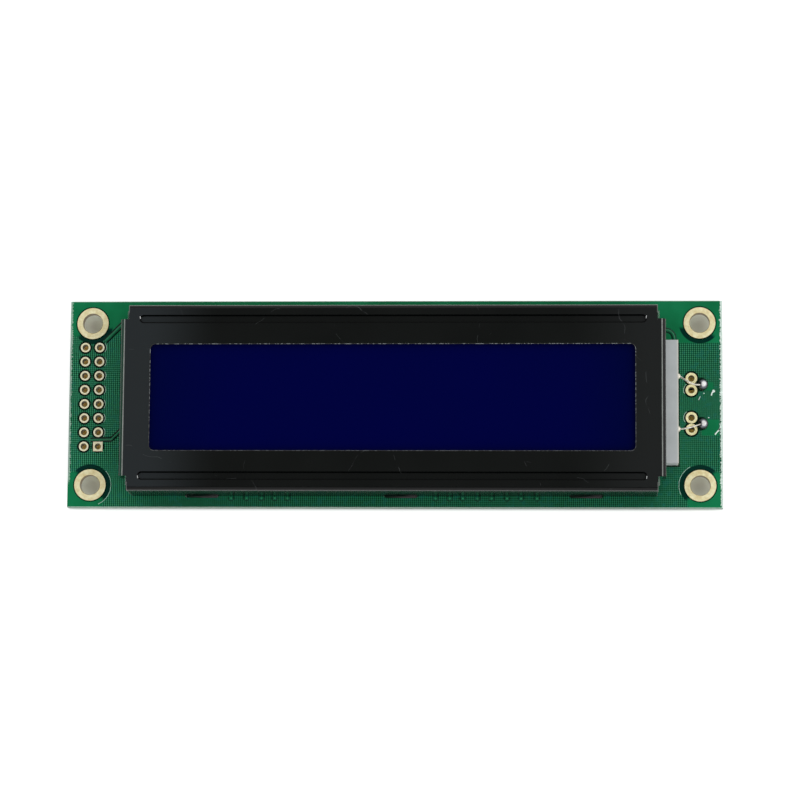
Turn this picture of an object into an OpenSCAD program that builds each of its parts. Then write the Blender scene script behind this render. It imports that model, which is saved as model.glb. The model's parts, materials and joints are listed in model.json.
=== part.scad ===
// Character LCD module for two lines of twenty characters. A folded sheet bezel clamps the
// glass display cell, two rubber connector strips and an edge-lit backlight onto a green
// circuit board, and six twisted tabs hold it from behind.
//
// Millimetres. The display faces +Z and its lines of text run along X. The origin lies under
// the centre of the board, level with the tips of the bezel's tabs, on which the module rests.

/* [Circuit board] */
// Length of the board
board_l = 116; // [115:0.5:122]
// Width of the board
board_w = 37; // [36.6:0.1:42]
// Thickness of the bare laminate
board_t = 1.6; // [0.8:0.1:2.4]
// Thickness of the copper and gold plating
plating_t = 0.05; // [0.03:0.01:0.08]

/* [Mounting holes] */
// Distance from the board's ends to the mounting hole centres
mount_edge = 4; // [3:0.1:4.4]
// Distance between mounting hole centres across the board
mount_span_y = 29; // [28.4:0.1:30.6]
// Bore of a mounting hole, inside its plating
mount_d = 3.5; // [2.5:0.1:4]
// Outer diameter of the plated ring round a mounting hole
mount_ring_d = 5.6; // [4.8:0.1:5.8]

/* [Interface holes] */
// Distance between neighbouring interface holes
pin_pitch = 2.54; // [2:0.01:2.54]
// Number of holes in each of the two columns
pin_rows = 8; // [4:1:8]
// Distance from the upper mounting hole's centre down to the top row of interface holes
pin_drop = 4.34; // [3.8:0.02:7]
// Distance from the board's left edge to the outer column of holes
pin_edge = 2.75; // [2:0.05:3.2]
// Bore of an interface hole, inside its plating
pin_hole_d = 1; // [0.7:0.05:1.2]
// Diameter of the plated pad round an interface hole
pin_pad_d = 1.7; // [1.4:0.05:1.9]

/* [Backlight terminals] */
// Distance from the board's right edge to the column of spare lamp pads
spare_edge = 5.5; // [5.2:0.1:6]
// Gap between the two pads of a pair
spare_gap = 0.05; // [0.05:0.05:0.5]
// Distance between the centres of the two pairs, and between the two soldered terminals
terminal_span = 7; // [6:0.1:9]
// Diameter of a spare pad
spare_pad_d = 2.05; // [1.6:0.05:2.2]
// Bore of a spare pad
spare_hole_d = 1.05; // [0.8:0.05:1.2]
// Distance from the column of spare pads to the soldered terminals
terminal_step = 2; // [1.8:0.1:2.5]
// Diameter of a terminal's pad
terminal_pad_d = 1.9; // [1.6:0.05:2]
// Bore of a terminal's hole
terminal_hole_d = 0.9; // [0.6:0.05:1]
// Height of the solder on a terminal above its pad
solder_h = 0.8; // [0.5:0.05:0.9]

/* [Bezel] */
// Distance from the board's ends to the bezel's short walls
end_margin = 10.2; // [9.5:0.1:14]
// Distance from the board's long edges to the bezel's long walls
side_margin = 2.1; // [1.6:0.1:4]
// Height of the bezel's face above the board
bezel_rise = 8.9; // [8:0.1:12]
// Thickness of the bezel's sheet
sheet_t = 0.5; // [0.4:0.05:0.6]
// Inner radius of the bezel's folds
fold_in_r = 0.2; // [0.1:0.05:0.5]
// Border of the face between the window and a short wall
border_end = 5.3; // [4:0.1:12]
// Border of the face between the window and a long wall
border_side = 7; // [5.5:0.1:9]
// Corner radius of the viewing window
window_r = 0.9; // [0.3:0.1:3]
// Room between the lower edges of the short walls and the height of the lamp end
short_wall_gap = 0.3; // [0.2:0.1:3]
// Length of a corner notch along the long side
notch_x = 1.4; // [1:0.1:2]
// Length of a corner notch along the short side
notch_y = 2.55; // [1.2:0.05:3]
// Width of the groove pressed into the face along each long side
groove_w = 1.5; // [1:0.1:1.8]
// Depth of that groove
groove_depth = 0.35; // [0.2:0.05:0.45]
// Slope of the sides of a groove
groove_slope = 55; // [45:1:75]
// Distance from the end of the bezel to the end of a groove
groove_end = 3.3; // [2.5:0.1:8]

/* [Bezel tabs] */
// Distance from the end of a long wall to the middle of its outer tab
tab_end = 12.4; // [8:0.1:18]
// Offset of the middle tabs from the middle of the board
tab_mid_x = 1.3; // [0:0.1:3]
// Width of a tab
tab_w = 5.4; // [3:0.1:6]
// Reach of a tab behind the board
tab_reach = 1.6; // [1.5:0.1:2.5]
// Angle through which the end of a tab is twisted
tab_twist = 24; // [10:1:35]
// Room between a tab and the end of its slot
slot_end_gap = 0.4; // [0.3:0.05:0.8]
// Room between a tab and the side of its slot
slot_side_gap = 0.35; // [0.2:0.05:0.6]

/* [Display cell] */
// Room between the glass and the bezel's short walls
glass_end_gap = 0.6; // [0.3:0.1:1.2]
// Room between the glass and the bezel's long walls
glass_side_gap = 0.55; // [0.3:0.05:1]
// Thickness of each glass plate
glass_t = 1.1; // [0.7:0.1:1.4]
// Width of the ledge of the front glass that carries the contacts
ledge_w = 3; // [2.6:0.1:3.2]
// Thickness of the sealed gap between the plates
cell_gap = 0.05; // [0.03:0.01:0.1]
// Width of the seal between the plates
seal_w = 1; // [0.5:0.1:1.4]
// Thickness of each polarising film
polarizer_t = 0.2; // [0.1:0.05:0.25]
// Distance from the edge of the rear glass to the edge of each polarising film
polarizer_edge = 0.5; // [0.2:0.1:1]
// Width of the port through which the cell was filled
port_w = 3; // [2:0.5:6]

/* [Connector strips] */
// Width of a rubber connector strip
strip_w = 2; // [1.6:0.1:2.2]
// Distance from the end of the glass to the end of a strip
strip_end = 2.4; // [1:0.1:5]
// Distance between neighbouring contact fingers
finger_pitch = 1.45; // [1.2:0.05:2.5]
// Width of a contact finger
finger_w = 0.8; // [0.5:0.05:1]

/* [Backlight] */
// Room between the backlight housing and the bezel's short walls
housing_end_gap = 0.8; // [0.4:0.1:2]
// Wall of the housing round the light guide
housing_wall = 1; // [0.8:0.1:1.4]
// Floor of the housing
housing_floor = 0.8; // [0.5:0.1:0.9]
// Reach of the lamp end beyond the bezel's right-hand wall
lamp_end_reach = 2.3; // [2.2:0.05:2.4]
// Step from the side of the housing to the side of its lamp end
lamp_end_step = 1.45; // [0.5:0.05:3]
// Height of the lamp end above the board
lamp_end_h = 3.6; // [3:0.1:3.7]
// Roof and outer wall of the lamp end
lamp_end_wall = 0.7; // [0.5:0.05:0.8]
// Room round the light guide and the lamps
guide_gap = 0.1; // [0.05:0.05:0.2]
// Thickness of the reflector and diffuser films
film_t = 0.2; // [0.1:0.05:0.3]
// Thickness of the lamp board
lamp_board_t = 0.6; // [0.4:0.05:0.7]
// Number of lamps
lamps = 5; // [3:1:6]
// Width of a lamp
lamp_w = 2.2; // [1.5:0.1:2.6]
// Depth of a lamp
lamp_depth = 0.9; // [0.6:0.05:1]
// Diameter of a lead
lead_d = 0.3; // [0.25:0.01:0.4]
// Distance between the leads where they leave the lamp end
lead_span = 9.4; // [7:0.1:12]
// How far the upper lead bows towards the middle of the board
upper_lead_bow = 0.85; // [0:0.05:1]
// Radius of the bead of solder at the root of a lead
bead_r = 0.5; // [0.4:0.05:0.6]

/* [Rear side] */
// Diameter of the resin cap over each bare chip
cap_d = 15; // [10:0.5:20]
// Height of the resin caps
cap_h = 1.3; // [0.8:0.05:1.4]
// Distance between the two resin caps
cap_span = 42; // [32:0.5:56]
// Length of a chip resistor
resistor_l = 2; // [1.6:0.1:2.2]
// Width of a chip resistor
resistor_w = 1.25; // [0.8:0.05:1.4]
// Height of a chip resistor
resistor_h = 0.55; // [0.4:0.05:0.7]
// Number of resistors in the row between the caps
resistors = 6; // [4:1:7]
// Distance between neighbouring resistors
resistor_pitch = 3; // [2:0.1:3.4]
// Length of a chip capacitor
capacitor_l = 3.2; // [2:0.1:3.6]
// Width of a chip capacitor
capacitor_w = 1.6; // [1.2:0.1:2]
// Height of a chip capacitor
capacitor_h = 1.1; // [0.6:0.1:1.3]
// Distance from the outer column of interface holes to the capacitors
capacitor_step = 15; // [8:0.5:20]
// Distance between the capacitors
capacitor_span = 10; // [6:0.5:20]
// Length of the metal end of a chip component
chip_end_l = 0.4; // [0.2:0.05:0.5]

/* [Hidden] */

$fn = 64;
CUT = 0.2; // how far a cutting shape runs past the face that it cuts

// Heights, from the tips of the tabs upwards
board_z = tab_reach;
top_z = board_z + board_t;
face_z = top_z + bezel_rise;
glass_top_z = face_z - sheet_t - groove_depth;
front_glass_z = glass_top_z - glass_t;
rear_glass_z = front_glass_z - cell_gap - glass_t;
rear_polarizer_z = rear_glass_z - polarizer_t;
housing_top_z = rear_polarizer_z - film_t;

// The bezel's outline
bezel_l = board_l - 2 * end_margin;
bezel_w = board_w - 2 * side_margin;
short_wall_h = bezel_rise - lamp_end_h - short_wall_gap;
window_l = bezel_l - 2 * border_end;
window_w = bezel_w - 2 * border_side;
fold_r = fold_in_r + sheet_t;
long_wall_l = bezel_l - 2 * notch_x;
short_wall_l = bezel_w - 2 * notch_y;
inner_l = bezel_l - 2 * sheet_t;
inner_w = bezel_w - 2 * sheet_t;
wall_y = bezel_w / 2 - sheet_t / 2;
tab_x = long_wall_l / 2 - tab_end;
tab_places = [-tab_x, tab_mid_x, tab_x];
slot_l = tab_w + 2 * slot_end_gap;
slot_w = sheet_t + 2 * slot_side_gap;

// The glass, and the strips that stand under its two ledges
glass_l = inner_l - 2 * glass_end_gap;
front_glass_w = inner_w - 2 * glass_side_gap;
rear_glass_w = front_glass_w - 2 * ledge_w;
strip_y = front_glass_w / 2 - ledge_w / 2;
strip_l = glass_l - 2 * strip_end;
strip_z = top_z + plating_t;
fingers = floor((strip_l - finger_w) / finger_pitch);

// A groove has sloping sides and a flat floor. Its ridge below is wider by what the bent sheet adds
groove_l = bezel_l - 2 * groove_end;
groove_floor_w = groove_w - 2 * groove_depth / tan(groove_slope);
ridge_extra = 2 * sheet_t * tan(groove_slope / 2);

// The backlight
housing_l = inner_l - 2 * housing_end_gap;
housing_w = rear_glass_w;
pocket_z = top_z + housing_floor;
pocket_l = housing_l - 2 * housing_wall;
pocket_w = housing_w - 2 * housing_wall;
guide_z = pocket_z + film_t;
lamp_end_x = bezel_l / 2 + lamp_end_reach;
lamp_end_w = housing_w - 2 * lamp_end_step;
lamp_bay_x = lamp_end_x - lamp_end_wall;
lamp_bay_w = lamp_end_w - 2 * lamp_end_wall;
lamp_bay_h = lamp_end_h - housing_floor - lamp_end_wall;
lamp_x = lamp_bay_x - lamp_board_t - lamp_depth;
lamp_h = lamp_bay_h - film_t - guide_gap;
lead_z = pocket_z + lamp_bay_h / 2;

// The holes in the board
mount_x = board_l / 2 - mount_edge;
mount_y = mount_span_y / 2;
pin_x = -board_l / 2 + pin_edge;
top_row_y = mount_y - pin_drop;
spare_x = board_l / 2 - spare_edge;
spare_pitch = spare_pad_d + spare_gap;
terminal_x = spare_x + terminal_step;
terminal_r = terminal_hole_d / 2;

// ---- Helpers ----

// A block that is centred in X and Y and stands on the height z
module block(l, w, h, z, x = 0, y = 0) {
    translate([x - l / 2, y - w / 2, z]) cube([l, w, h]);
}

// Draws its child at both ends of a line across the board
module pair_y(distance) {
    for (side = [-1, 1]) translate([0, side * distance / 2, 0]) children();
}

// Draws its child at the four mounting holes
module at_mounts() {
    for (x = [-1, 1], y = [-1, 1])
        translate([x * mount_x, y * mount_y, 0]) children();
}

// Draws its child at an interface hole. Column 0 is the inner one, and row 0 the lowest
module at_pin(column, row) {
    translate([
        pin_x + (1 - column) * pin_pitch,
        top_row_y - (pin_rows - 1 - row) * pin_pitch,
        0
    ]) children();
}

// Draws its child at the four spare lamp pads
module at_spares() {
    for (pair = [-1, 1], pad = [-1, 1])
        translate([spare_x, (pair * terminal_span + pad * spare_pitch) / 2, 0]) children();
}

// Draws its child at the six tabs
module at_tabs() {
    for (side = [-1, 1], x = tab_places) translate([x, side * wall_y, 0]) children();
}

// The hole that the laminate has for a plated bore
module drill(bore_d) {
    translate([0, 0, board_z - CUT])
        cylinder(d = bore_d + 2 * plating_t, h = board_t + 2 * CUT);
}

// Plating that lines a hole and spreads over both faces of the board
module plated_hole(bore_d, pad_d, square_pad = false) {
    difference() {
        union() {
            translate([0, 0, board_z]) cylinder(d = bore_d + 2 * plating_t, h = board_t);
            for (z = [board_z - plating_t, top_z]) {
                if (square_pad) block(pad_d, pad_d, plating_t, z);
                else translate([0, 0, z]) cylinder(d = pad_d, h = plating_t);
            }
        }
        translate([0, 0, board_z - CUT]) cylinder(d = bore_d, h = board_t + 2 * CUT);
    }
}

// A rectangle with rounded corners, centred on the origin
module rounded_rect(l, w, r) {
    square([l - 2 * r, w], center = true);
    square([l, w - 2 * r], center = true);
    for (x = [-1, 1], y = [-1, 1])
        translate([x * (l / 2 - r), y * (w / 2 - r)]) circle(r = r);
}

// A bar along X with sloping sides and round ends, h high, that stands on its narrow floor.
// The centres of its ends are l apart
module sloped_bar(l, floor_w, top_w, h) {
    rotate([90, 0, 90]) translate([0, 0, -l / 2]) linear_extrude(l)
        polygon([[-floor_w / 2, 0], [floor_w / 2, 0], [top_w / 2, h], [-top_w / 2, h]]);
    for (side = [-1, 1]) translate([side * l / 2, 0, 0])
        cylinder(d1 = floor_w, d2 = top_w, h = h);
}

// A low dome that stands on z = 0. Its arc is short, so the whole circle has many steps
module dome(d, h) {
    r = (d * d / 4 + h * h) / (2 * h);
    rotate_extrude() intersection() {
        translate([0, h - r]) circle(r = r, $fn = 256);
        square([d, h]);
    }
}

// ---- Circuit board and its plating ----

// Bare laminate with its round holes and the slots for the bezel's tabs
module circuit_board() {
    color("#0e7346") difference() {
        block(board_l, board_w, board_t, board_z);
        at_mounts() drill(mount_d);
        for (column = [0, 1], row = [0 : pin_rows - 1]) at_pin(column, row) drill(pin_hole_d);
        at_spares() drill(spare_hole_d);
        translate([terminal_x, 0, 0]) pair_y(terminal_span) drill(terminal_hole_d);
        at_tabs() tab_slot();
    }
}

// Routed slot with round ends, wide enough to show beside the tab
module tab_slot() {
    translate([0, 0, board_z - CUT]) linear_extrude(board_t + 2 * CUT) {
        square([slot_l - slot_w, slot_w], center = true);
        for (side = [-1, 1]) translate([side * (slot_l - slot_w) / 2, 0]) circle(d = slot_w);
    }
}

module mounting_rings() {
    color("#d6cf98") at_mounts() plated_hole(mount_d, mount_ring_d);
}

// Every interface pad but the first is round
module interface_pads() {
    color("#dcd49c") for (column = [0, 1], row = [0 : pin_rows - 1])
        if (column + row > 0) at_pin(column, row) plated_hole(pin_hole_d, pin_pad_d);
}

// The first pad is square: inner column, lowest row
module pin_one_pad() {
    color("#dcd49c") at_pin(0, 0) plated_hole(pin_hole_d, pin_pad_d, square_pad = true);
}

module spare_lamp_pads() {
    color("#dcd49c") at_spares() plated_hole(spare_hole_d, spare_pad_d);
}

module terminal_pads() {
    color("#dcd49c") translate([terminal_x, 0, 0]) pair_y(terminal_span)
        plated_hole(terminal_hole_d, terminal_pad_d);
}

// A row of plated fingers on which a connector strip stands
module contacts(side) {
    color("#cbb866") for (i = [0 : fingers - 1])
        block(finger_w, strip_w, plating_t, top_z, (i - (fingers - 1) / 2) * finger_pitch,
            side * strip_y);
}

module upper_contacts() { contacts(1); }

module lower_contacts() { contacts(-1); }

// ---- Bezel ----

// One piece of sheet: the face with its window and grooves, four folded walls and six tabs
module bezel() {
    color("#232527") difference() {
        union() {
            face_sheet();
            for (side = [0, 1]) mirror([0, side, 0]) {
                long_wall();
                groove_underside();
            }
            for (side = [0, 1]) mirror([side, 0, 0]) short_wall();
            at_tabs() tab();
        }
        pair_y(2 * strip_y) groove_cut();
    }
}

// The flat of the face, inside the folds
module face_sheet() {
    translate([0, 0, face_z - sheet_t]) linear_extrude(sheet_t) difference() {
        union() {
            square([bezel_l - 2 * fold_r, short_wall_l], center = true);
            square([long_wall_l, bezel_w - 2 * fold_r], center = true);
        }
        rounded_rect(window_l, window_w, window_r);
    }
}

// Section through a fold and its wall. The outer corner would be at the origin
module wall_section(depth) {
    intersection() {
        difference() {
            translate([-fold_r, -fold_r]) circle(r = fold_r);
            translate([-fold_r, -fold_r]) circle(r = fold_in_r);
        }
        translate([-fold_r, -fold_r]) square(fold_r);
    }
    translate([-sheet_t, -depth]) square([sheet_t, depth - fold_r]);
}

// A long wall stands on the board
module long_wall() {
    translate([-long_wall_l / 2, bezel_w / 2, face_z]) rotate([90, 0, 90])
        linear_extrude(long_wall_l) wall_section(bezel_rise);
}

// A short wall stops above the board and leaves room for the lamp end
module short_wall() {
    translate([bezel_l / 2, short_wall_l / 2, face_z]) rotate([90, 0, 0])
        linear_extrude(short_wall_l) wall_section(short_wall_h);
}

// The groove itself. Its sides go on at their slope past the face
module groove_cut() {
    over = 2 * CUT / tan(groove_slope);
    translate([0, 0, face_z - groove_depth])
        sloped_bar(groove_l - groove_w, groove_floor_w, groove_w + over, groove_depth + CUT);
}

// The ridge that a groove raises on the underside, which presses on the glass
module groove_underside() {
    translate([0, strip_y, glass_top_z]) sloped_bar(groove_l - groove_w,
        groove_floor_w + ridge_extra, groove_w + ridge_extra, groove_depth);
}

// A tab runs straight through its slot and is twisted behind the board
module tab() {
    block(tab_w, sheet_t, board_t, board_z);
    mirror([0, 0, 1]) translate([0, 0, -board_z])
        linear_extrude(tab_reach, twist = tab_twist, slices = 6, segments = 4)
            square([tab_w, sheet_t], center = true);
}

// ---- Display cell ----

// A film that covers the area where the two plates face each other
module polarizer(z) {
    block(glass_l - 2 * polarizer_edge, rear_glass_w - 2 * polarizer_edge, polarizer_t, z);
}

module front_polarizer() {
    color("#04093a") polarizer(glass_top_z);
}

module front_glass() {
    color("#9fb9b4", 0.6) block(glass_l, front_glass_w, glass_t, front_glass_z);
}

// A closed loop of adhesive between the plates, but for the port that it was filled through
module cell_seal() {
    color("#b9b6a0") difference() {
        block(glass_l - seal_w, rear_glass_w - seal_w, cell_gap, rear_glass_z + glass_t);
        block(glass_l - 3 * seal_w, rear_glass_w - 3 * seal_w, cell_gap + 2 * CUT,
            rear_glass_z + glass_t - CUT);
        block(3 * seal_w, port_w, cell_gap + 2 * CUT, rear_glass_z + glass_t - CUT,
            -glass_l / 2 + seal_w);
    }
}

// Drop of resin that closes the port at the left-hand end of the plates
module port_plug() {
    plug_h = min(glass_end_gap, port_w / 2) * 0.6;
    color("#c9c39a") translate([-glass_l / 2, 0, front_glass_z - cell_gap / 2])
        rotate([0, -90, 0]) dome(1.4 * glass_t, plug_h);
}

module rear_glass() {
    color("#9fb9b4", 0.6) block(glass_l, rear_glass_w, glass_t, rear_glass_z);
}

module rear_polarizer() {
    color("#04093a") polarizer(rear_polarizer_z);
}

// ---- Connector strips ----

// Silicone rubber strip from the fingers on the board to the ledge of the front glass
module connector_strip(side) {
    color("#5d5f62") block(strip_l, strip_w, front_glass_z - strip_z, strip_z, 0,
        side * strip_y);
}

module upper_connector_strip() { connector_strip(1); }

module lower_connector_strip() { connector_strip(-1); }

// ---- Backlight ----

module diffuser_film() {
    color("#f1f2ee") block(housing_l, housing_w, film_t, housing_top_z);
}

// White tray whose lamp end runs out under the bezel's right-hand wall
module backlight_housing() {
    color("#dfe1df") difference() {
        union() {
            block(housing_l, housing_w, housing_top_z - top_z, top_z);
            translate([0, -lamp_end_w / 2, top_z]) cube([lamp_end_x, lamp_end_w, lamp_end_h]);
        }
        block(pocket_l, pocket_w, housing_top_z - pocket_z + CUT, pocket_z);
        translate([0, -lamp_bay_w / 2, pocket_z]) cube([lamp_bay_x, lamp_bay_w, lamp_bay_h]);
        pair_y(lead_span) translate([lamp_bay_x - CUT, 0, lead_z]) rotate([0, 90, 0])
            cylinder(d = lead_d + guide_gap, h = lamp_end_wall + 2 * CUT);
    }
}

// Clear acrylic plate with a low neck that reaches to the lamps
module light_guide() {
    neck_end = lamp_x - guide_gap;
    color("#dfeeee", 0.7) {
        block(pocket_l - 2 * guide_gap, pocket_w - 2 * guide_gap, housing_top_z - guide_z,
            guide_z);
        translate([0, guide_gap - lamp_bay_w / 2, guide_z])
            cube([neck_end, lamp_bay_w - 2 * guide_gap, lamp_h]);
    }
}

module reflector_film() {
    color("#f6f6f4") block(pocket_l - 2 * guide_gap, pocket_w - 2 * guide_gap, film_t, pocket_z);
}

// Narrow board that stands against the outer wall of the lamp end
module lamp_board() {
    color("#e9e7da") translate([lamp_bay_x - lamp_board_t, guide_gap - lamp_bay_w / 2, pocket_z])
        cube([lamp_board_t, lamp_bay_w - 2 * guide_gap, lamp_bay_h - guide_gap]);
}

// Lamps in a row on that board, facing the end of the light guide
module lamps() {
    step = lamp_bay_w / lamps;
    color("#f0e08a") for (i = [0 : lamps - 1])
        block(lamp_depth, lamp_w, lamp_h, guide_z, lamp_x + lamp_depth / 2,
            (i - (lamps - 1) / 2) * step);
}

// ---- Leads and their solder ----

function unit(v) = v / norm(v);

// Point at t, from 0 to 1, on the curve that starts and ends at the first and last of p
function bezier(p, t) = pow(1 - t, 3) * p[0] + 3 * pow(1 - t, 2) * t * p[1]
    + 3 * (1 - t) * t * t * p[2] + pow(t, 3) * p[3];

// Straight out through the wall, then sloping down to the terminal on the same side
function lead_path(side) =
    let (
        root = [lamp_end_x + bead_r / 2, side * lead_span / 2, lead_z],
        end = [terminal_x, side * terminal_span / 2, top_z + plating_t + lead_d],
        run = end[0] - root[0],
        bow = side > 0 ? upper_lead_bow : 0
    )
    concat(
        [[lamp_bay_x, root[1], lead_z]],
        [for (i = [0 : 12]) bezier([
            root,
            root + [run * 0.3, -bow * 0.9, 0],
            end + [-run * 0.4, side * run * 0.15 - bow * 1.5, run * 0.2],
            end
        ], i / 12)]
    );

// Round wire along a path that never runs straight up
module wire(path, d) {
    sides = 10;
    last = len(path) - 1;
    points = [
        for (i = [0 : last])
            let (
                along = unit(path[min(i + 1, last)] - path[max(i - 1, 0)]),
                across = unit(cross(along, [0, 0, 1])),
                up = cross(across, along)
            )
            for (k = [0 : sides - 1])
                path[i] + d / 2 * (cos(360 * k / sides) * across + sin(360 * k / sides) * up)
    ];
    skin = [
        for (i = [0 : last - 1], k = [0 : sides - 1])
            let (next = (k + 1) % sides)
            each [
                [i * sides + k, i * sides + next, (i + 1) * sides + next],
                [i * sides + k, (i + 1) * sides + next, (i + 1) * sides + k]
            ]
    ];
    start_cap = [[for (k = [sides - 1 : -1 : 0]) k]];
    end_cap = [[for (k = [0 : sides - 1]) last * sides + k]];
    polyhedron(points, concat(skin, start_cap, end_cap));
}

module lead(side) {
    color("#d8d8d2") wire(lead_path(side), lead_d);
}

module upper_lead() { lead(1); }

module lower_lead() { lead(-1); }

// Solder round the root of each lead, against the face of the lamp end
module lead_beads() {
    color("#e3e0d4") for (side = [-1, 1]) difference() {
        translate([lamp_end_x, side * lead_span / 2, lead_z]) rotate([0, 90, 0])
            dome(2 * bead_r, bead_r * 0.9);
        wire(lead_path(side), lead_d);
    }
}

// Solder that fills a terminal's hole and rounds over the end of the lead
module terminal_solder() {
    color("#b9bcbd") for (side = [-1, 1]) difference() {
        translate([terminal_x, side * terminal_span / 2, 0]) {
            translate([0, 0, board_z - plating_t]) cylinder(r = terminal_r, h = board_t + 2 * plating_t);
            translate([0, 0, top_z + plating_t]) dome(terminal_pad_d, solder_h);
            translate([0, 0, board_z - plating_t]) mirror([0, 0, 1])
                dome(terminal_pad_d, solder_h / 2);
        }
        wire(lead_path(side), lead_d);
    }
}

// ---- Rear side ----

// Black resin over a bare chip, hanging from the rear face
module chip_cap(x) {
    color("#15161a") translate([x, 0, board_z]) mirror([0, 0, 1]) dome(cap_d, cap_h);
}

module controller_cap() { chip_cap(-cap_span / 2); }

module driver_cap() { chip_cap(cap_span / 2); }

// Draws its child at each resistor, in a row between the two resin caps
module at_resistors() {
    for (i = [0 : resistors - 1])
        translate([0, (i - (resistors - 1) / 2) * resistor_pitch, 0]) children();
}

// Draws its child at each capacitor
module at_capacitors() {
    translate([pin_x + capacitor_step, 0, 0]) pair_y(capacitor_span) children();
}

// Body of a chip component between its metal ends, under the board
module chip_body(l, w, h) {
    block(l - 2 * chip_end_l, w, h, board_z - h);
}

// The two metal ends of a chip component
module chip_ends(l, w, h) {
    for (side = [-1, 1])
        block(chip_end_l, w, h, board_z - h, side * (l - chip_end_l) / 2);
}

module resistor_bodies() {
    color("#1d1f22") at_resistors() chip_body(resistor_l, resistor_w, resistor_h);
}

module resistor_ends() {
    color("#c3c5c6") at_resistors() chip_ends(resistor_l, resistor_w, resistor_h);
}

module capacitor_bodies() {
    color("#b59a6c") at_capacitors() chip_body(capacitor_l, capacitor_w, capacitor_h);
}

module capacitor_ends() {
    color("#c3c5c6") at_capacitors() chip_ends(capacitor_l, capacitor_w, capacitor_h);
}

// ---- The module, one line for each node ----

circuit_board();
mounting_rings();
interface_pads();
pin_one_pad();
spare_lamp_pads();
terminal_pads();
upper_contacts();
lower_contacts();
bezel();
front_polarizer();
front_glass();
cell_seal();
port_plug();
rear_glass();
rear_polarizer();
upper_connector_strip();
lower_connector_strip();
diffuser_film();
light_guide();
reflector_film();
backlight_housing();
lamp_board();
lamps();
upper_lead();
lower_lead();
lead_beads();
terminal_solder();
controller_cap();
driver_cap();
resistor_bodies();
resistor_ends();
capacitor_bodies();
capacitor_ends();
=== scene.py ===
# %% [markdown]
# # A character LCD module
# This lesson dresses a small display module: a green circuit board that carries a black folded
# bezel, a dark blue display and an edge-lit backlight. The CAD file already holds the true shape
# of each piece, in metres, with the display facing up and its lines of text along X. So nothing
# is moved or resized here. The lesson gives each piece its finish, and adds what is too fine for
# CAD, such as copper tracks under the green mask. The frame is loaded first and measured at once.

# %% Load the frame
import json
import math

import bpy
from mathutils import Matrix, Vector


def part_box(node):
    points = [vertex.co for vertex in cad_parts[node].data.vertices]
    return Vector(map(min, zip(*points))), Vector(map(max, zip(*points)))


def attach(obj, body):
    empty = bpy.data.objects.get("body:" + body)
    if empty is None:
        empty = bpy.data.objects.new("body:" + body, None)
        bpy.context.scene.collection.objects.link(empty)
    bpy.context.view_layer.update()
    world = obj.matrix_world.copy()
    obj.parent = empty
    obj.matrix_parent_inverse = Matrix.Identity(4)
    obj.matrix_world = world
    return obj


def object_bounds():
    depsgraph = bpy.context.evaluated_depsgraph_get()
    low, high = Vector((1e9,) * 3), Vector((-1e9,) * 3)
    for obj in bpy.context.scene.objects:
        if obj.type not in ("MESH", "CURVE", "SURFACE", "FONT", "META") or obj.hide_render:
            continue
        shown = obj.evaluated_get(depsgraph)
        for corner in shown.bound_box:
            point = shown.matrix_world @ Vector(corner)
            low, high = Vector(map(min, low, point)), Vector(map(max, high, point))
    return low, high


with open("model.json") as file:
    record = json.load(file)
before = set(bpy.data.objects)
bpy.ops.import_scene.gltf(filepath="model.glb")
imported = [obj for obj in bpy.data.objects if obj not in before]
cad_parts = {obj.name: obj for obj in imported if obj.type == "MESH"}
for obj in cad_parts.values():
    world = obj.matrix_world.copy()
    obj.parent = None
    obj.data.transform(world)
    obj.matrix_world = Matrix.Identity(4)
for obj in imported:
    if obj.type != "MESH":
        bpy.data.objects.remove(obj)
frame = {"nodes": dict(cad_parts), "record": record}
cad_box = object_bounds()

nodes = frame["nodes"]
print(len(nodes), "pieces, box", [round(side * 1000, 1) for side in cad_box[1] - cad_box[0]], "mm")

# %% [markdown]
# ## Places that the finishes need
# A pattern on the board has to lie round the real pads, and the painted highlight lines of the
# bezel have to follow its real edges.
# Each place is therefore read from the boxes of the CAD pieces and from the mounts that the
# record lists. All of them are kept in millimetres, because a finish is easier to tune in the
# unit in which its grain is a few tenths.

# %% Read the places in millimetres
MM = 0.001
ROOT = "root"


def box_mm(name):
    """Lowest and highest corner of a CAD piece, in millimetres."""
    low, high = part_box(name)
    return low / MM, high / MM


def mount(name):
    """Centre and sizes of a mount, in millimetres."""
    found = next(m for m in frame["record"]["mounts"] if m["name"] == name)
    return Vector(found["pos_m"]) / MM, found["dims"]


board_low, board_high = box_mm("circuit_board")
bezel_high = box_mm("bezel")[1]
film_low, film_high = box_mm("front_polarizer")
housing_high = box_mm("backlight_housing")[1]
board_top = board_high.z
corner_holes = mount("mounting_holes")[1]
interface_middle, interface_sizes = mount("interface_holes")
spare_middle, spare_sizes = mount("spare_lamp_pads_upper")
print("board top", round(board_top, 2), "bezel face", round(bezel_high.z, 2), "mm")

# %% Work out the pads
PIN_ROWS = 8
pin_columns = [interface_middle.x - interface_sizes["spacing_x_mm"] / 2,
               interface_middle.x + interface_sizes["spacing_x_mm"] / 2]
row_span = interface_sizes["spacing_y_mm"]
row_pitch = row_span / (PIN_ROWS - 1)
pin_rows = [interface_middle.y - row_span / 2 + k * row_pitch for k in range(PIN_ROWS)]
pad_radius = pin_columns[0] - box_mm("interface_pads")[0].x
spare_radius = (box_mm("spare_lamp_pads")[1].x - box_mm("spare_lamp_pads")[0].x) / 2
terminal_low, terminal_high = box_mm("terminal_pads")
terminal_x = (terminal_low.x + terminal_high.x) / 2
terminal_radius = (terminal_high.x - terminal_low.x) / 2
corner_radius = board_high.x - box_mm("mounting_rings")[1].x
ring_radius = box_mm("mounting_rings")[1].x - corner_holes["spacing_x_mm"] / 2
print("pads", round(pad_radius, 2), "rings", round(ring_radius, 2), "mm")

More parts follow.
